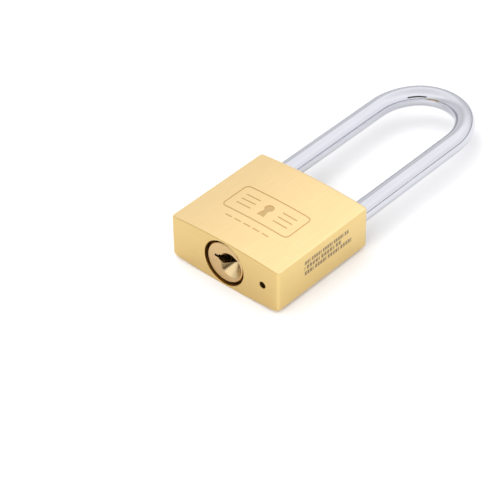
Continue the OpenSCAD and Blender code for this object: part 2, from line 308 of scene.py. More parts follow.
# %% [markdown]
# ## Engraved marks
#
# The front of such a lock carries a mark pressed in with thin shallow lines. Here
# it is a plain one: a rounded frame, a keyhole sign, some bars and a row of dashes.
# Lines this thin could be faked with bump, but they are cut for real, so that they
# catch light from every side. Each cutter is an outline whose floor follows the
# crown at a constant depth.

# %% Engrave the front
ENGRAVE = 0.1
LINE = 0.4


def arc(x, y, r, start, end, steps=8):
    """Points of an arc about (x, y), with its ends given in degrees."""
    return [(x + r * math.cos(math.radians(start + (end - start) * k / steps)),
             y + r * math.sin(math.radians(start + (end - start) * k / steps)))
            for k in range(steps + 1)]


def rounded_frame(half, y0, y1, r):
    """Outline of a rounded frame, with points along its long sides to follow the crown."""
    corners = [arc(half - r, y1 - r, r, 0, 90), arc(-half + r, y1 - r, r, 90, 180),
               arc(-half + r, y0 + r, r, 180, 270), arc(half - r, y0 + r, r, 270, 360)]
    line = []
    for here, after in zip(corners, corners[1:] + corners[:1]):
        (xa, ya), (xb, yb) = here[-1], after[0]
        line += here + [(xa + (xb - xa) * k / 10, ya + (yb - ya) * k / 10) for k in range(1, 10)]
    return line


def groove_floor(x, y):
    return crown(x) - ENGRAVE


def groove_top(x, y):
    return crown(x) + 0.6


def ring_cutter(outer, inner):
    """A closed band between two outlines with the same number of points."""
    n = len(outer)
    rails = [[(x, y, f(x, y)) for x, y in line]
             for line, f in ((outer, groove_floor), (outer, groove_top),
                             (inner, groove_top), (inner, groove_floor))]
    faces = [[a * n + k, a * n + (k + 1) % n, b * n + (k + 1) % n, b * n + k]
             for a, b in ((0, 1), (1, 2), (2, 3), (3, 0)) for k in range(n)]
    return mesh_piece("cut_frame", [p for rail in rails for p in rail], faces)


def bar_cutter(x0, x1, y):
    """A bar across the front, with points along it to follow the crown."""
    steps = 5
    xs = [x0 + (x1 - x0) * k / steps for k in range(steps + 1)]
    outline = [(x, y - LINE / 2) for x in xs] + [(x, y + LINE / 2) for x in reversed(xs)]
    return prism("cut_bar", outline, groove_floor, groove_top, "xy")


FRAME_HALF, FRAME_LOW, FRAME_HIGH, FRAME_R = 12.2, 12.5, 24.0, 1.6
FRAME_MID = (FRAME_LOW + FRAME_HIGH) / 2
BAR_X, BAR_HALF, BAR_PITCH = 6.8, 2.6, 2.2
DASH_Y, DASH_HALF, DASH_PITCH = 9.8, 1.2, 3.4
frame_cut = ring_cutter(
    rounded_frame(FRAME_HALF, FRAME_LOW, FRAME_HIGH, FRAME_R),
    rounded_frame(FRAME_HALF - LINE, FRAME_LOW + LINE, FRAME_HIGH - LINE, FRAME_R - LINE))
keyhole_foot = [(-1.3, FRAME_MID - 2.8), (1.3, FRAME_MID - 2.8)]
keyhole_cut = prism("cut_keyhole", arc(0, FRAME_MID + 1.2, 1.5, -62, 242, 26) + keyhole_foot,
                    groove_floor, groove_top, "xy")
bars = [bar_cutter(s * BAR_X - BAR_HALF, s * BAR_X + BAR_HALF, FRAME_MID + BAR_PITCH * k)
        for s in (-1, 1) for k in (-1, 0, 1)]
dashes = [bar_cutter(DASH_PITCH * k - DASH_HALF, DASH_PITCH * k + DASH_HALF, DASH_Y)
          for k in range(-2, 3)]
cut_away(block, frame_cut, keyhole_cut, *bars, *dashes)
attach(block, "body")
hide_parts("lock_body")
print("engraved block:", len(block.data.polygons), "faces")

# %% [markdown]
# ## Node trees
#
# Rods, rows and coils follow a rule, and every finish is shader maths, so most of what
# is left is made of nodes. Linking them by hand takes many lines, so a small class adds
# a node with its settings and inputs in one call. Two more helpers make a Geometry
# Nodes tree with named inputs, and run it on a piece so that only a plain mesh is left.

# %% A class for building node trees
class Nodes:
    """Adds nodes to a tree. Settings are set first, then inputs are linked or filled."""

    def __init__(self, tree):
        self.tree = tree
        tree.nodes.clear()

    def add(self, kind, settings=None, inputs=None):
        node = self.tree.nodes.new(kind)
        for name, value in (settings or {}).items():
            if name == "stops":
                ramp = node.color_ramp
                while len(ramp.elements) < len(value):
                    ramp.elements.new(1)
                for stop, (place, colour) in zip(ramp.elements, value):
                    stop.position, stop.color = place, colour
            else:
                setattr(node, name, value)
        for name, value in (inputs or {}).items():
            socket = node.inputs[name]
            value = getattr(value, "socket", value)
            if isinstance(value, bpy.types.NodeSocket):
                self.tree.links.new(value, socket)
            else:
                socket.default_value = value
        return node


def geometry_tree(name, sizes):
    """A Geometry Nodes tree with a geometry in and out and named number inputs."""
    tree = bpy.data.node_groups.new(name, "GeometryNodeTree")
    tree.interface.new_socket("Geometry", in_out="INPUT", socket_type="NodeSocketGeometry")
    for label, (kind, value) in sizes.items():
        socket = tree.interface.new_socket(
            label, in_out="INPUT", socket_type="NodeSocket" + kind)
        if kind != "Material":
            socket.default_value = value
    tree.interface.new_socket("Geometry", in_out="OUTPUT", socket_type="NodeSocketGeometry")
    nodes = Nodes(tree)
    return tree, nodes, nodes.add("NodeGroupInput")


def run_tree(piece, tree, values):
    """Runs a tree on a piece with inputs given by name, and keeps the plain mesh."""
    step = piece.modifiers.new(tree.name, "NODES")
    step.node_group = tree
    for item in tree.interface.items_tree:
        if item.item_type == "SOCKET" and item.in_out == "INPUT" and item.name in values:
            step[item.identifier] = values[item.name]
    piece.update_tag()
    plain = bpy.data.meshes.new_from_object(
        piece.evaluated_get(bpy.context.evaluated_depsgraph_get()))
    piece.modifiers.clear()
    piece.data = plain
    plain.name = piece.name
    return piece


def point_line(name, points):
    """An object that holds only points in the frame, joined in a row."""
    mesh = bpy.data.meshes.new(name)
    edges = [(k, k + 1) for k in range(len(points) - 1)]
    mesh.from_pydata([in_frame(*p) for p in points], edges, [])
    piece = bpy.data.objects.new(name, mesh)
    bpy.context.scene.collection.objects.link(piece)
    return piece


# %% [markdown]
# ## Finishes
#
# Each finish is one material made of shader maths. To keep the maths readable, a
# small class wraps a socket, so that `1 - mask * 0.5` adds the Math nodes itself.
# Patterns read Object coordinates, which in this frame are simply metres from the
# padlock's middle; the finishes below turn them into millimetres first.

# %% Shader expressions
class Value:
    """A number that varies over a surface. Operators add Math nodes."""

    def __init__(self, nodes, socket):
        self.nodes, self.socket = nodes, socket

    def math(self, operation, other=None, third=None, swap=False):
        node = self.nodes.add("ShaderNodeMath", {"operation": operation})
        given = [self, other] if not swap else [other, self]
        for socket, value in zip(node.inputs, given + [third]):
            if value is None:
                continue
            value = getattr(value, "socket", value)
            if isinstance(value, bpy.types.NodeSocket):
                self.nodes.tree.links.new(value, socket)
            else:
                socket.default_value = value
        return Value(self.nodes, node.outputs[0])

    def __add__(self, other): return self.math("ADD", other)
    def __radd__(self, other): return self.math("ADD", other)
    def __sub__(self, other): return self.math("SUBTRACT", other)
    def __rsub__(self, other): return self.math("SUBTRACT", other, swap=True)
    def __mul__(self, other): return self.math("MULTIPLY", other)
    def __rmul__(self, other): return self.math("MULTIPLY", other)
    def __truediv__(self, other): return self.math("DIVIDE", other)
    def __abs__(self): return self.math("ABSOLUTE")

    def above(self, edge, soft):
        """0 below an edge and 1 above it, with a soft step between."""
        ramp = (self - (edge - soft)) / (2 * soft)
        return ramp.math("MINIMUM", 1.0).math("MAXIMUM", 0.0)

    def below(self, edge, soft):
        return 1 - self.above(edge, soft)

    def within(self, low, high, soft):
        return self.above(low, soft) * self.below(high, soft)

    def root(self):
        return self.math("SQRT")

    def repeat(self, step):
        """Starts again from 0 at every step."""
        return self.math("WRAP", step, 0.0)


class Finish:
    """One metal finish: a material, its Principled shader and its coordinates in mm."""

    def __init__(self, name, metallic=1.0, roughness=0.3, **constants):
        self.material = bpy.data.materials.new(name)
        self.material.use_nodes = True
        self.nodes = Nodes(self.material.node_tree)
        out = self.nodes.add("ShaderNodeOutputMaterial")
        self.shader = self.nodes.add("ShaderNodeBsdfPrincipled", None, {
            "Metallic": metallic, "Roughness": roughness, **constants})
        self.nodes.tree.links.new(self.shader.outputs[0], out.inputs[0])
        place = self.nodes.add("ShaderNodeTexCoord")
        shifted = self.nodes.add("ShaderNodeMapping", {"vector_type": "POINT"}, {
            "Vector": place.outputs["Object"],
            "Location": (0, -body_low.y, -MID),
            "Scale": (1 / MM, 1 / MM, 1 / MM)})
        self.point = shifted.outputs[0]
        split = self.nodes.add("ShaderNodeSeparateXYZ", None, {0: self.point})
        self.x, self.y, self.z = (Value(self.nodes, s) for s in split.outputs)

    def noise(self, size, stretch=(1, 1, 1), detail=3.0, seed=0.0, rough=0.55):
        """Soft random values around 0.5, of a size in mm, stretched along the axes."""
        scale = tuple(1 / (size * s) for s in stretch)
        spread = self.nodes.add("ShaderNodeMapping", None, {
            "Vector": self.point, "Location": (seed, seed * 0.7, seed * 1.3), "Scale": scale})
        cloud = self.nodes.add("ShaderNodeTexNoise", {"noise_dimensions": "3D"}, {
            "Vector": spread.outputs[0], "Scale": 1.0, "Detail": detail, "Roughness": rough})
        return Value(self.nodes, cloud.outputs[0])

    def mix(self, factor, first, second):
        """A colour between two colours, or between earlier mixes."""
        node = self.nodes.add("ShaderNodeMix", {"data_type": "RGBA"})
        for place, value in ((0, factor), (6, first), (7, second)):
            socket = node.inputs[place]
            value = getattr(value, "socket", value)
            if isinstance(value, bpy.types.NodeSocket):
                self.nodes.tree.links.new(value, socket)
            else:
                socket.default_value = value if isinstance(value, float) else (*value, 1)
        return node.outputs[2]

    def set(self, **links):
        """Links values to the shader's base colour, roughness and metallic."""
        names = {"colour": "Base Color", "roughness": "Roughness", "metallic": "Metallic"}
        for name, value in links.items():
            source = getattr(value, "socket", value)
            self.nodes.tree.links.new(source, self.shader.inputs[names[name]])

    def report(self):
        print(self.material.name, "has", len(self.nodes.tree.nodes), "nodes")

    def bump(self, height, depth_mm):
        """Height from 0 to 1 stands for a real depth in mm."""
        node = self.nodes.add("ShaderNodeBump", None, {
            "Strength": 1.0, "Distance": depth_mm * MM, "Height": height})
        self.nodes.tree.links.new(node.outputs[0], self.shader.inputs["Normal"])


# %% [markdown]
# ## Satin brass
#
# The block's brass is pale and satin: fine draw lines run along the bar on the
# front, back and sides, and the sawn and linished ends show lines across instead.
# So two stretched noises are made and a mask near each end chooses between them.
# They move the roughness and a very shallow bump, and a slow cloud warms and cools the colour a
# little. Masks worked out from the coordinates tell the front and back, the darker ends, the engraved
# lines and the mouth of the plug bore apart. The front and back get a paler brass than the sides,
# which is a painted sheen. The engraved lines are painted darker, which is painted shade in the
# grooves. The mouth's wall is painted a warmer gold, a painted reflection, and the bore behind it is
# painted near black, a painted shade.
# The small print on the side is three rows of plain dark dashes, masked the same way.

# %% Satin brass
satin_brass = Finish("satin_brass", roughness=0.36)
f = satin_brass
END_SKIN = 0.25
on_end = 1 - f.y.within(END_SKIN, LENGTH - END_SKIN, 0.05)
along = f.noise(0.16, (1, 60, 1), detail=4, seed=3.1)
across = f.noise(0.16, (60, 1, 1), detail=4, seed=7.7)
lines = along * (1 - on_end) + across * on_end
cloud = f.noise(9.0, detail=2, seed=1.3)
speck = f.noise(0.35, detail=2, seed=11.0)

# how far a point lies below the crowned faces: 0 on them, more on the sides and in the marks
sunk = (f.x * f.x) * (-CAMBER / HALF_WIDTH ** 2) + HALF_CROWN - abs(f.z)
on_crown = sunk.below(0.35, 0.2) * (1 - on_end)
in_mark = (sunk.within(0.04, 0.4, 0.03) * abs(f.x).below(FRAME_HALF + 0.4, 0.1)
           * f.y.within(DASH_Y - 0.8, FRAME_HIGH + 0.6, 0.1) * f.z.above(0, 0.5))
near_plug = (f.x * f.x + f.z * f.z).root().below(MOUTH_R + 0.02, 0.02)
mouth_wall = f.y.within(0.06, LENGTH / 2, 0.05) * near_plug
mouth_shade = f.y.within(1.05, LENGTH / 2, 0.25) * near_plug

side_brass = f.mix(cloud, (0.70, 0.52, 0.21), (0.75, 0.565, 0.25))
# the front and back get a paler brass than the sides: a painted sheen
sheen_front_brass = f.mix(cloud, (0.91, 0.675, 0.34), (0.95, 0.715, 0.38))
end_brass = f.mix(cloud, (0.62, 0.445, 0.18), (0.67, 0.49, 0.21))
brass_colour = f.mix(on_crown, side_brass, sheen_front_brass)
brass_colour = f.mix(on_end * (1 - on_crown), brass_colour, end_brass)
brass_colour = f.mix(lines.above(0.60, 0.16) * 0.30, brass_colour, (0.74, 0.52, 0.21))
# the engraved lines are painted a darker brown: painted shade in the grooves
brass_colour = f.mix(in_mark * 0.55, brass_colour, (0.42, 0.25, 0.09))
# the mouth's wall is painted a warmer, brighter gold: a painted reflection of light bouncing in the
# bore
brass_colour = f.mix(mouth_wall * 0.8, brass_colour, (0.90, 0.52, 0.13))
# further in, the bore is painted near black: painted shade
brass_colour = f.mix(mouth_shade * 0.90, brass_colour, (0.060, 0.020, 0.006))

# each row of print: its height, where it starts and ends, the pitch of its dashes, its shift
INK_ROWS = ((3.55, 11.2, 30.4, 0.95, 0.0), (1.75, 11.2, 27.0, 1.25, 0.4),
            (-0.1, 11.2, 31.6, 1.1, 0.8))
INK_HALF = 0.66
ink = 0.0
for row_z, start, end, pitch, shift in INK_ROWS:
    dash = ((f.y + shift) / pitch).repeat(1.0)
    word = ((f.y + shift) / (pitch * 5.0)).repeat(1.0)
    row = f.z.within(row_z - INK_HALF, row_z + INK_HALF, 0.08) * f.y.within(start, end, 0.08)
    ink = ink + row * dash.within(0.08, 0.84, 0.06) * word.below(0.90, 0.03)
ink = ink * f.x.above(HALF_WIDTH - 0.2, 0.05) * speck.above(0.36, 0.12)
ink = ink.math("MINIMUM", 1.0)
brass_colour = f.mix(ink * 0.82, brass_colour, (0.07, 0.035, 0.035))
f.set(colour=brass_colour,
      roughness=0.24 + lines * 0.16 + ink * 0.15 + mouth_shade * 0.3,
      metallic=1 - ink * 0.7)
f.bump(lines, 0.004)
f.report()

# %% [markdown]
# ## Turned brass
#
# The plug and the key and driver pins come off a lathe. The plug's face carries fine rings: a ring
# pattern is the distance from the turning axis, given a little noise so that the rings are not all
# alike. The face is painted browner and darker than the cone that guides the key, which is painted
# shade. One side of the cone is painted dark brown, which is painted shade too.

# %% Turned brass
turned_brass = Finish("turned_brass", roughness=0.2)
f = turned_brass
LEAD_X, LEAD_DEPTH = 2.1, 3.6
radius = (f.x * f.x + f.z * f.z).root()
waver = f.noise(1.4, detail=3, seed=5.0)
ring_cut = ((radius + waver * 0.12) / 0.17).repeat(1.0)
on_face = f.y.below(PLUG_FACE + 0.15, 0.05)
mottle = f.noise(2.5, detail=3, seed=9.0)
plain_plug_brass = f.mix(mottle, (0.66, 0.50, 0.27), (0.76, 0.59, 0.34))
# the face's darker, browner brass is painted shade
shaded_face_brass = f.mix(mottle, (0.53, 0.36, 0.17), (0.62, 0.44, 0.22))
# one side of the lead-in cone is painted dark brown: painted shade
shaded_cone_side = ((f.x - LEAD_X) * -0.80 + f.z * 0.60).above(0.1, 0.25)
cone_shade = shaded_cone_side * f.y.within(PLUG_FACE + 0.2, PLUG_FACE + LEAD_DEPTH + 0.2, 0.1)
plug_colour = f.mix(on_face, plain_plug_brass, shaded_face_brass)
plug_colour = f.mix(cone_shade * 0.75, plug_colour, (0.19, 0.115, 0.04))
f.set(colour=plug_colour, roughness=0.22 + ring_cut * on_face * 0.06 + mottle * 0.12)
f.bump(ring_cut * on_face + mottle * 0.5, 0.004)
f.report()

# %% [markdown]
# ## Plating, steel and spring wire
#
# The shackle is plated over a drawn and polished rod: very smooth, faintly lilac,
# with the shallow long waves that drawing leaves. The bolts, the cam and the retaining
# pins are ground steel, and the springs are drawn wire, a little darker. One dictionary
# then holds all five finishes under the names of the record's slots.

# %% Plated rod, ground steel and wire
plated = Finish("chrome_plate", roughness=0.12)
f = plated
haze = f.noise(3.0, (1, 5, 1), detail=3, seed=2.0)
scuff = f.noise(0.25, (1, 24, 1), detail=4, seed=6.0)
plate_colour = f.mix(haze, (0.57, 0.575, 0.62), (0.63, 0.635, 0.68))
f.set(colour=plate_colour,
      roughness=0.04 + haze * 0.06 + scuff.above(0.62, 0.1) * 0.10)
f.bump(haze * 0.7 + scuff * 0.3, 0.0025)

ground_steel = Finish("bright_steel", roughness=0.28)
f = ground_steel
grind = f.noise(0.12, (30, 1, 1), detail=4, seed=4.0)
f.set(colour=f.mix(grind, (0.50, 0.51, 0.54), (0.66, 0.67, 0.70)),
      roughness=0.22 + grind * 0.2)
f.bump(grind, 0.003)

spring_wire = Finish("spring_wire", roughness=0.35)
f = spring_wire
drawn = f.noise(0.3, detail=3, seed=8.0)
f.set(colour=f.mix(drawn, (0.36, 0.37, 0.40), (0.52, 0.53, 0.56)),
      roughness=0.28 + drawn * 0.2)
f.bump(drawn, 0.003)

FINISHES = {"satin_brass": satin_brass, "turned_brass": turned_brass, "chrome_plate": plated,
            "bright_steel": ground_steel, "spring_wire": spring_wire}


def dress(piece, slot):
    """Gives a piece the finish kept under a slot's name."""
    piece.data.materials.clear()
    piece.data.materials.append(FINISHES[slot].material)


dress(block, "satin_brass")
print("finishes:", ", ".join(FINISHES))

# %% [markdown]
# ## The shackle
#
# The shackle is one round rod, bent: straight, a wide arc, a tighter arc on top, a
# wide arc and straight again. That is a shape that follows a rule, so Geometry
# Nodes make it: a line of points becomes a curve, and a circle is swept along it.
# The tree's named inputs are the rod's radius, how many sides the sweep has, and its
# finish.

# %% Sweep the shackle
TIP_BEVEL = 0.7
rise = ARCH_HEIGHT - ARCH_TOP_R
side_r = (LEG_X ** 2 + rise ** 2 - ARCH_TOP_R ** 2) / (2 * (LEG_X - ARCH_TOP_R))
side_turn = math.degrees(math.atan2(rise, side_r - LEG_X))


def leg_line(x, tip, steps):
    """One leg's points from its tip up to just below the arch."""
    low = tip + 2
    return [(x, tip), (x, tip + TIP_BEVEL)] + [
        (x, low + (STRAIGHT_END - low) * k / steps) for k in range(steps)]


heel_arc = arc(LEG_X - side_r, STRAIGHT_END, side_r, 0, side_turn, 20)
top_arc = arc(0, STRAIGHT_END + rise, ARCH_TOP_R, side_turn, 180 - side_turn, 28)
toe_arc = [(-x, y) for x, y in reversed(heel_arc)]
path = (leg_line(LEG_X, HEEL_TIP, 16) + heel_arc + top_arc[1:-1] + toe_arc
        + leg_line(-LEG_X, TOE_TIP, 12)[::-1])

tree, nodes, given = geometry_tree("sweep_rod", {
    "Rod radius": ("Float", 0.0032), "Sides": ("Int", 64), "Finish": ("Material", None)})
curve = nodes.add("GeometryNodeMeshToCurve", None, {"Mesh": given.outputs["Geometry"]})
circle = nodes.add("GeometryNodeCurvePrimitiveCircle", None, {
    "Resolution": given.outputs["Sides"], "Radius": given.outputs["Rod radius"]})
swept = nodes.add("GeometryNodeCurveToMesh", None, {
    "Curve": curve.outputs[0], "Profile Curve": circle.outputs[0], "Fill Caps": True})
real = nodes.add("GeometryNodeRealizeInstances", None, {"Geometry": swept.outputs[0]})
painted = nodes.add("GeometryNodeSetMaterial", None, {
    "Geometry": real.outputs[0], "Material": given.outputs["Finish"]})
nodes.add("NodeGroupOutput", None, {0: painted.outputs[0]})

shackle = point_line("plated_shackle", [(x, y, 0) for x, y in path])
run_tree(shackle, tree, {"Rod radius": ROD_R * MM, "Sides": 96, "Finish": plated.material})
# the last ring of each leg is drawn in, which bevels the tip
for v in shackle.data.vertices:
    for tip, x in ((HEEL_TIP, LEG_X), (TOE_TIP, -LEG_X)):
        centre = in_frame(x, tip, 0)
        if abs(v.co.y - centre.y) < 1e-6 and abs(v.co.x - centre.x) < 1.2 * ROD_R * MM:
            v.co.x = centre.x + (v.co.x - centre.x) * (1 - TIP_BEVEL / ROD_R)
            v.co.z = centre.z + (v.co.z - centre.z) * (1 - TIP_BEVEL / ROD_R)
finish_mesh(shackle.data)
print("shackle sweep:", len(shackle.data.polygons), "faces")

# %% [markdown]
# ## Notches for the bolts
#
# Each leg has a notch that its bolt's nose snaps into, with a ramp below it, and the
# heel leg has a long flat that slides past the retaining pin. They only show once
# the shackle has risen, but then they are what makes it look like a real shackle.

# %% Notch the legs
LIFT, BOLT_TRAVEL = 13.5, 3.9
NOTCH_FLOOR = LEG_X - ROD_R + 1.3 + 0.25  # a bolt's nose reaches in 1.3, with 0.25 to spare
RAMP_RUN = 12


def notch_cutter(side):
    """A notch in a leg's inner side, on the heel leg for 1 and the toe leg for -1."""
    outside = LEG_X - ROD_R - OVER
    ramp_foot = NOTCH_FLOOR - BOLT_TRAVEL / LIFT * RAMP_RUN
    outline = [(outside, BOLT_Y - 1 - RAMP_RUN), (ramp_foot, BOLT_Y - 1 - RAMP_RUN),
               (NOTCH_FLOOR, BOLT_Y - 1), (NOTCH_FLOOR, BOLT_Y + 1.2),
               (outside, BOLT_Y + 1.2 + NOTCH_FLOOR - outside)]
    return prism("cut_notch", [(side * x, y) for x, y in outline], -5, 5, "xy")


FLAT_X, FLAT_OUT, FLAT_LOW, FLAT_HIGH = 16.5, 19, 15.4, 31.2
flat_cutter = prism("cut_flat", [(FLAT_X, FLAT_LOW), (FLAT_OUT, FLAT_LOW), (FLAT_OUT, FLAT_HIGH),
                                 (FLAT_X, FLAT_HIGH)], -5, 5, "xy")
cut_away(shackle, notch_cutter(1), notch_cutter(-1), flat_cutter)
dress(shackle, "chrome_plate")
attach(shackle, "shackle")
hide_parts("shackle")
print("notched shackle:", len(shackle.data.polygons), "faces")

# %% [markdown]
# ## The plug
#
# The plug is turned first, with a chamfer round its face and a groove for its
# retaining pin, and then cut: a conical lead-in set off to one side that guides the
# key, the stepped keyway, five chambers for the key pins and a slot for the cam at the
# back. The order here is the same.

# %% Turn and cut the plug
GROOVE_R = PLUG_R - 0.85
GROOVE_LOW, GROOVE_HIGH = PLUG_END - 2.85, PLUG_END - 1.15
plug = turned("keyed_plug", [
    (0, PLUG_FACE), (PLUG_R - 0.42, PLUG_FACE), (PLUG_R - 0.32, PLUG_FACE + 0.03),
    (PLUG_R - 0.08, PLUG_FACE + 0.25), (PLUG_R, PLUG_FACE + 0.42), (PLUG_R, GROOVE_LOW),
    (GROOVE_R, GROOVE_LOW), (GROOVE_R, GROOVE_HIGH), (PLUG_R, GROOVE_HIGH),
    (PLUG_R, PLUG_END), (0, PLUG_END)], steps=160)
LEAD_R, LEAD_SLOPE = 4.1, 0.78
lead_in = turned("cut_lead_in", [
    (0, PLUG_FACE - OVER), (LEAD_R + LEAD_SLOPE * OVER, PLUG_FACE - OVER),
    (LEAD_R - LEAD_SLOPE * LEAD_DEPTH, PLUG_FACE + LEAD_DEPTH), (0, PLUG_FACE + LEAD_DEPTH)],
    centre=(LEAD_X, 0), steps=96)
keyway = prism("cut_keyway", [
    (-3.7, 0.65), (-2.4, 0.65), (-1.9, 0), (-1.2, -1.2), (2.8, -1.2), (3.4, 0.3),
    (5.0, 0.4), (5.0, 2.0), (0.4, 2.1), (-1.9, 2.1), (-2.4, 1.55), (-3.7, 1.55)],
    PLUG_FACE - OVER, PLUG_END - 3.2)
chambers = [turned("cut_pin_chamber", [(0, -8), (CHAMBER_R, -8), (CHAMBER_R, -0.9), (0, -0.9)],
                   axis="x", centre=(y, 0), steps=40) for y in STACKS]
tongue_slot = prism("cut_tongue_slot", [(-4, -1.1), (4, -1.1), (4, 1.1), (-4, 1.1)],
                    PLUG_END - 1.4, PLUG_END + OVER)
cut_away(plug, lead_in, keyway, *chambers, tongue_slot)
dress(plug, "turned_brass")
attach(plug, "plug")
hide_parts("cylinder_plug")
print("plug:", len(plug.data.polygons), "faces")

# %% [markdown]
# ## Pressed-in plugs
#
# The five pin chambers are drilled in from one side and closed with small brass
# plugs, pressed in and dressed flush. They are one shape repeated at one spacing, so
# Geometry Nodes place a turned disc on each point of a line.

# %% Repeat the chamber plugs
PRESSED_IN = 2.4
tree, nodes, given = geometry_tree("pressed_plugs", {
    "Count": ("Int", 5), "Spacing": ("Float", 0.0035), "Radius": ("Float", 0.00137),
    "Depth": ("Float", 0.0023), "Finish": ("Material", None)})
pitch = nodes.add("ShaderNodeCombineXYZ", None, {"Y": given.outputs["Spacing"]})
row = nodes.add("GeometryNodeMeshLine", {"mode": "OFFSET"}, {
    "Count": given.outputs["Count"], "Offset": pitch.outputs[0]})
disc = nodes.add("GeometryNodeMeshCylinder", None, {
    "Vertices": 40, "Radius": given.outputs["Radius"], "Depth": given.outputs["Depth"]})
lying = nodes.add("GeometryNodeTransform", None, {
    "Geometry": disc.outputs["Mesh"], "Rotation": (0, math.pi / 2, 0)})
placed = nodes.add("GeometryNodeInstanceOnPoints", None, {
    "Points": row.outputs[0], "Instance": lying.outputs[0]})
real = nodes.add("GeometryNodeRealizeInstances", None, {"Geometry": placed.outputs[0]})
first = nodes.add("GeometryNodeTransform", None, {
    "Geometry": real.outputs[0], "Translation": in_frame(-HALF_WIDTH + PRESSED_IN / 2, STACKS[0], 0)})
painted = nodes.add("GeometryNodeSetMaterial", None, {
    "Geometry": first.outputs[0], "Material": given.outputs["Finish"]})
nodes.add("NodeGroupOutput", None, {0: painted.outputs[0]})

chamber_plugs = point_line("chamber_plugs", [(0, 0, 0)])
run_tree(chamber_plugs, tree, {"Finish": satin_brass.material})
finish_mesh(chamber_plugs.data)
dress(chamber_plugs, "satin_brass")
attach(chamber_plugs, "body")
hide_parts(*[f"chamber_plug_{i}" for i in range(1, 6)])
print("chamber plugs:", len(chamber_plugs.data.polygons), "faces")

# %% [markdown]
# ## Springs
#
# A coil spring is the plainest case of a shape that follows a rule: a round wire on
# a spiral. One tree makes it from its coil radius, wire radius, length and turns.
# The five driver springs, the ejector spring under the heel leg and the spring between the bolts are
# the same tree with other sizes.

# %% Coil the springs
tree, nodes, given = geometry_tree("coil_spring", {
    "Coil radius": ("Float", 0.001), "Wire radius": ("Float", 0.00016),
    "Length": ("Float", 0.007), "Turns": ("Float", 6.0), "Finish": ("Material", None)})
height = nodes.add("ShaderNodeMath", {"operation": "SUBTRACT"}, {0: given.outputs["Length"]})
thick = nodes.add("ShaderNodeMath", {"operation": "MULTIPLY"}, {
    0: given.outputs["Wire radius"], 1: 2.0})
nodes.tree.links.new(thick.outputs[0], height.inputs[1])
spiral = nodes.add("GeometryNodeCurveSpiral", None, {
    "Resolution": 26, "Rotations": given.outputs["Turns"],
    "Start Radius": given.outputs["Coil radius"],
    "End Radius": given.outputs["Coil radius"], "Height": height.outputs[0]})
wire = nodes.add("GeometryNodeCurvePrimitiveCircle", None, {
    "Resolution": 10, "Radius": given.outputs["Wire radius"]})
coil = nodes.add("GeometryNodeCurveToMesh", None, {
    "Curve": spiral.outputs[0], "Profile Curve": wire.outputs[0], "Fill Caps": True})
lift = nodes.add("ShaderNodeCombineXYZ", None, {"Z": given.outputs["Wire radius"]})
raised = nodes.add("GeometryNodeTransform", None, {
    "Geometry": coil.outputs[0], "Translation": lift.outputs[0]})
real = nodes.add("GeometryNodeRealizeInstances", None, {"Geometry": raised.outputs[0]})
painted = nodes.add("GeometryNodeSetMaterial", None, {
    "Geometry": real.outputs[0], "Material": given.outputs["Finish"]})
nodes.add("NodeGroupOutput", None, {0: painted.outputs[0]})


def spring(name, foot, along, body, stands_for, coil_r, wire_r, length, turns, squeeze=None):
    """A coil from a foot point along X or Y; squeeze, when given, only gives the coil its own copy of
    its mesh, and its joint and distance are not used.
    """
    piece = point_line(name, [(0, 0, 0)])
    run_tree(piece, tree, {"Coil radius": coil_r * MM, "Wire radius": wire_r * MM,
                           "Length": length * MM, "Turns": float(turns),
                           "Finish": spring_wire.material})
    # the tree's coils run along Z
    turn = {"x": Matrix(((0, 0, 1), (1, 0, 0), (0, 1, 0))),
            "y": Matrix(((1, 0, 0), (0, 0, 1), (0, -1, 0)))}[along]
    piece.data.transform(Matrix.Translation(in_frame(*foot)) @ turn.to_4x4())
    finish_mesh(piece.data, 60)
    dress(piece, "spring_wire")
    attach(piece, body)
    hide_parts(stands_for)
    if squeeze:
        tuple(in_frame(*foot))
        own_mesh(piece)
    print(name, len(piece.data.polygons), "faces")


for i, y in enumerate(STACKS, start=1):
    spring(f"driver_coil_{i}", (-HALF_WIDTH + PRESSED_IN, y, 0), "x", "body", f"driver_spring_{i}",
           1.0, 0.16, 7.5, 6, (f"driver_{i}_push", 2.0))
spring("ejector_coil", (LEG_X, SPRING_SEAT, 0), "y", "body", "ejector_spring",
       2.5, 0.35, HEEL_TIP - SPRING_SEAT, 6)
spring("bolt_coil", (-10.3, BOLT_Y, -1.8), "x", "toe_bolt", "bolt_spring",
       0.85, 0.15, 10.6, 9, ("shackle_lift", 2 * BOLT_TRAVEL))

# %% [markdown]
# ## Pieces kept from the frame
#
# The bolts, the cam, the pins and the bolt bore's plug are exact in the frame already
# and mostly out of sight, so they stay as they are and only get their finish. Their
# slots in the frame's record say which one.

# %% Finish the frame's own pieces
slot_of = {row["node"]: row["material_slot"] for row in frame["record"]["subparts"]}
kept = [n for n, o in frame["nodes"].items() if not o.hide_render]
for node in kept:
    piece = frame["nodes"][node]
    piece.data.materials.clear()
    piece.data.materials.append(FINISHES[slot_of[node]].material)
print("kept from the frame:", len(kept), "pieces")

# %% [markdown]
# ## Studio
#
# Metal shows its surroundings more than itself, so the sky around the lock, which is the
# next step, does most of the lighting. This step adds what stands in it: a plain pale
# floor, one small dark card out of view that puts a short black line on the arch, and
# two soft area lights. They don't show in reflections, and only shade the floor and
# whatever isn't metal.

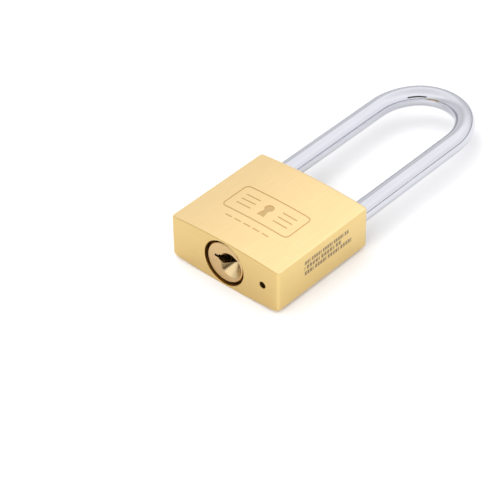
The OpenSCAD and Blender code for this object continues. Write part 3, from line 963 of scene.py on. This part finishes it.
# %% Floor and lights
def card(name, centre, size, facing, colour):
    """A flat plain card that faces a point and stays out of the model."""
    direction = (Vector(facing) - Vector(centre)).normalized()
    turn = direction.to_track_quat("Z", "Y").to_matrix().to_4x4()
    w, h = size[0] / 2, size[1] / 2
    mesh = bpy.data.meshes.new(name)
    mesh.from_pydata([(-w, -h, 0), (w, -h, 0), (w, h, 0), (-w, h, 0)], [], [(0, 1, 2, 3)])
    mesh.transform(Matrix.Translation(centre) @ turn)
    piece = bpy.data.objects.new(name, mesh)
    bpy.context.scene.collection.objects.link(piece)
    paint = Finish(name + "_paint", metallic=0.0, roughness=0.9)
    paint.shader.inputs["Base Color"].default_value = (*colour, 1)
    paint.shader.inputs["Specular IOR Level"].default_value = 0.0
    mesh.materials.append(paint.material)
    return piece


def soft_light(name, place, facing, size, power):
    """A square area light that shades surfaces but isn't seen in them."""
    lamp = bpy.data.lights.new(name, "AREA")
    lamp.size, lamp.energy = size, power
    light = bpy.data.objects.new(name, lamp)
    bpy.context.scene.collection.objects.link(light)
    light.location = place
    light.rotation_euler = (Vector(facing) - Vector(place)).to_track_quat("-Z", "Y").to_euler()
    light.visible_glossy = False


card("floor", (0, 0, 0), (8, 8), (0, 0, 1), (0.87, 0.87, 0.875))
middle = tuple(in_frame(0, LENGTH / 2, 0))
dark = card("dark_card", (0.74, -0.57, 0.405), (1.0, 0.29), middle, (0.015, 0.015, 0.015))
for hidden_from in ("camera", "diffuse", "shadow", "transmission"):
    setattr(dark, "visible_" + hidden_from, False)
soft_light("key", (-0.50, 0.0, 0.75), middle, 0.6, 2.2)
soft_light("fill", (0.10, -0.75, 0.5), middle, 0.6, 2.6)
print("floor, dark card and two soft lights")

# %% [markdown]
# ## Sky
#
# A real studio has white sheets all round a shiny thing, and a picture of such a room
# could be wrapped round the scene. Two colour ramps do the same with a few numbers. One
# gives the sky's colour by how high a direction points: a thin dark band at the
# horizon, which is the crisp dark line along the plated rod, and pale above it. The
# other gives its strength on a slope: a little weaker low down and to the left than
# high up and to the right, which grades the satin front from one side to the other.

# %% Graded sky
SKY_STRENGTH = 1.38


def grey(level, blue=0.0):
    """An opaque grey as a ramp stop's colour, with a little more blue if asked."""
    return (level, level, level + blue, 1)


world = bpy.data.worlds.new("studio")
bpy.context.scene.world = world
world.use_nodes = True
sky = Nodes(world.node_tree)
direction = sky.add("ShaderNodeTexCoord")
split = sky.add("ShaderNodeSeparateXYZ", None, {0: direction.outputs["Generated"]})
across, upward = Value(sky, split.outputs[0]), Value(sky, split.outputs[2])
shade = sky.add("ShaderNodeValToRGB", {"stops": [
    (0.0, grey(0.04, 0.01)), (0.05, grey(0.05, 0.01)), (0.085, grey(0.86, 0.01)),
    (0.45, grey(0.90, 0.01)), (0.70, grey(1)), (1.0, grey(0.80))]}, {0: upward})
leaning = across * 0.3 + 0.5 + upward * 0.5
grade = sky.add("ShaderNodeValToRGB", {"stops": [
    (0.0, grey(0.82)), (0.35, grey(0.80)), (0.57, grey(0.67)), (0.75, grey(1))]}, {0: leaning})
power = Value(sky, grade.outputs[0]) * SKY_STRENGTH
background = sky.add("ShaderNodeBackground", None, {"Color": shade.outputs[0], "Strength": power})
sky.add("ShaderNodeOutputWorld", None, {"Surface": background.outputs[0]})
bpy.context.scene.view_settings.view_transform = "Standard"
print("sky:", len(sky.tree.nodes), "nodes")

# %% [markdown]
# ## Camera
#
# The padlock is seen from its keyway end and its right side, from well above, with a
# long lens. The camera stands on a sphere about a target on the floor, at an azimuth
# and an elevation, and is rolled by about a degree.

# %% Camera
AZIMUTH, ELEVATION, ROLL = math.radians(42.133), math.radians(39.426), -0.016367
DISTANCE, LENS, SENSOR = 0.58073, 145.71144, 36
TARGET_X, TARGET_Y = -4.783, -3.211  # from the middle of the block, on the floor
target = Vector((TARGET_X, TARGET_Y + (body_low.y + body_high.y) / 2, 0)) * MM
back = Vector((math.sin(AZIMUTH) * math.cos(ELEVATION), -math.cos(AZIMUTH) * math.cos(ELEVATION),
               math.sin(ELEVATION)))
right = Vector((math.cos(AZIMUTH), math.sin(AZIMUTH), 0))
up = back.cross(right)
right, up = (right * math.cos(ROLL) + up * math.sin(ROLL),
             up * math.cos(ROLL) - right * math.sin(ROLL))
lens = bpy.data.cameras.new("camera")
lens.lens, lens.sensor_width, lens.clip_start = LENS, SENSOR, 0.01
camera = bpy.data.objects.new("camera", lens)
bpy.context.scene.collection.objects.link(camera)
camera.matrix_world = Matrix.Translation(target + back * DISTANCE) @ Matrix(
    (right, up, back)).transposed().to_4x4()
bpy.context.scene.camera = camera
print("camera at", tuple(round(c, 4) for c in camera.matrix_world.translation))
